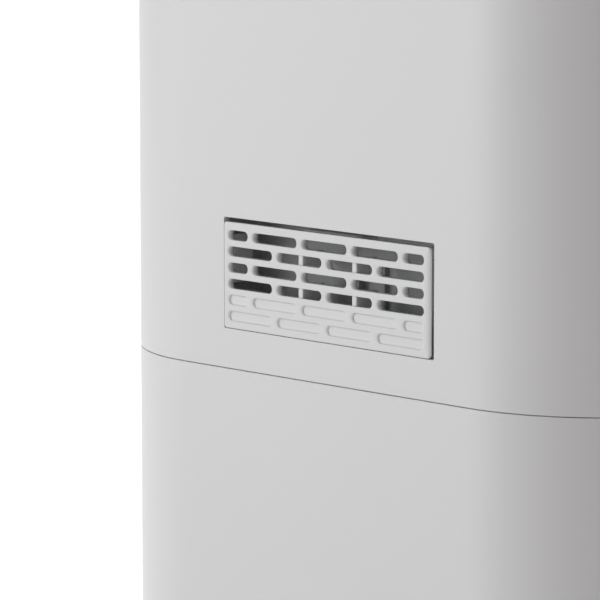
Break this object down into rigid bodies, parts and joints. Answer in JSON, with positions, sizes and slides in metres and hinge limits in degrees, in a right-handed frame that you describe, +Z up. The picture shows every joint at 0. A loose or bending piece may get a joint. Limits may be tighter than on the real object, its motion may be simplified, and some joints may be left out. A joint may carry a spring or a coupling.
{
  "type": "dehumidifier",
  "caption": "Upright compressor dehumidifier with a rounded two-part cabinet, slotted side vent, front water tank, rear air filter, tilting top outlet and folding handle.",
  "frame": {"origin": "on the floor under the middle of the cabinet", "axes": "+Z up, -Y towards the front with the tank, +X towards the side wall with the slotted vent"},
  "size_m": [0.34, 0.23, 0.4726],
  "materials": {
    "white_abs": "moulded satin white ABS with a fine spark texture",
    "grey_pp": "moulded grey polypropylene",
    "dark_abs": "moulded dark grey ABS",
    "clear_tank": "translucent smoke-blue styrene",
    "clear_window": "clear acrylic",
    "black_gloss": "back-painted acrylic overlay",
    "button_grey": "moulded button caps",
    "float_foam": "closed-cell float",
    "filter_nylon": "woven nylon air filter",
    "fin_aluminium": "rolled fin stock",
    "copper_tube": "drawn copper tube",
    "black_paint": "black enamel on pressed steel",
    "zinc_steel": "zinc-plated steel",
    "rubber": "moulded rubber",
    "circuit_board": "green glass-epoxy board",
    "capacitor_can": "drawn aluminium can"
  },
  "bodies": {
    "cabinet": {"base_housing": "white_abs", "upper_housing": "white_abs", "top_cover": "white_abs", "side_vent_cover": "white_abs", "machine_deck": "grey_pp", "drip_tray": "grey_pp", "outlet_hood": "grey_pp", "fan_scroll": "grey_pp", "sensor_box": "grey_pp", "appliance_inlet": "dark_abs", "outlet_guard": "dark_abs", "electronics_box": "dark_abs", "electronics_lid": "dark_abs", "tank_switch": "dark_abs", "control_panel": "black_gloss", "evaporator_fins": "fin_aluminium", "condenser_fins": "fin_aluminium", "evaporator_tubes": "copper_tube", "condenser_tubes": "copper_tube", "suction_pipe": "copper_tube", "discharge_pipe": "copper_tube", "filter_drier": "copper_tube", "capillary_tube": "copper_tube", "accumulator": "copper_tube", "compressor": "black_paint", "fan_motor": "zinc_steel", "compressor_bolts": "zinc_steel", "inlet_pins": "zinc_steel", "coil_bulkhead": "zinc_steel", "rubber_feet": "rubber", "compressor_feet": "rubber", "humidity_sensor": "circuit_board", "control_board": "circuit_board", "power_board": "circuit_board", "run_capacitor": "capacitor_can"},
    "tank": {"tank_bucket": "clear_tank", "tank_front_panel": "white_abs", "level_window": "clear_window", "tank_lid": "grey_pp"},
    "float": {"tank_float": "float_foam"},
    "intake_filter": {"rear_grille": "white_abs", "filter_frame": "dark_abs", "filter_mesh": "filter_nylon"},
    "fan": {"fan_impeller": "dark_abs", "fan_shaft": "zinc_steel"},
    "louvre": {"louvre": "white_abs"},
    "handle": {"carry_handle": "white_abs"},
    "power_button": {"power_button": "button_grey"},
    "mode_button": {"mode_button": "button_grey"},
    "humidity_button": {"humidity_button": "button_grey"},
    "timer_button": {"timer_button": "button_grey"}
  },
  "joints": [
    {"name": "tank_slide", "type": "slide", "parent": "cabinet", "child": "tank", "axis": [0, -1, 0], "range_m": [0, 0.215]},
    {"name": "float_swing", "type": "hinge", "parent": "tank", "child": "float", "pos_m": [-0.06, -0.01, 0.132], "axis": [1, 0, 0], "range_deg": [0, 10]},
    {"name": "filter_pull", "type": "slide", "parent": "cabinet", "child": "intake_filter", "axis": [0, 1, 0], "range_m": [0, 0.06]},
    {"name": "fan_spin", "type": "hinge", "parent": "cabinet", "child": "fan", "pos_m": [-0.0235, 0, 0.3], "axis": [0, 1, 0], "continuous": true},
    {"name": "louvre_tilt", "type": "hinge", "parent": "cabinet", "child": "louvre", "pos_m": [0, 0.0185, 0.4685], "axis": [-1, 0, 0], "range_deg": [0, 75]},
    {"name": "handle_swing", "type": "hinge", "parent": "cabinet", "child": "handle", "pos_m": [0, 0.01, 0.467], "axis": [1, 0, 0], "range_deg": [0, 90]},
    {"name": "power_press", "type": "slide", "parent": "cabinet", "child": "power_button", "axis": [0, 0, -1], "range_m": [0, 0.0008], "stiffness_N_per_m": 600, "springref_m": -0.0015},
    {"name": "mode_press", "type": "slide", "parent": "cabinet", "child": "mode_button", "axis": [0, 0, -1], "range_m": [0, 0.0008], "stiffness_N_per_m": 600, "springref_m": -0.0015},
    {"name": "humidity_press", "type": "slide", "parent": "cabinet", "child": "humidity_button", "axis": [0, 0, -1], "range_m": [0, 0.0008], "stiffness_N_per_m": 600, "springref_m": -0.0015},
    {"name": "timer_press", "type": "slide", "parent": "cabinet", "child": "timer_button", "axis": [0, 0, -1], "range_m": [0, 0.0008], "stiffness_N_per_m": 600, "springref_m": -0.0015}
  ]
}
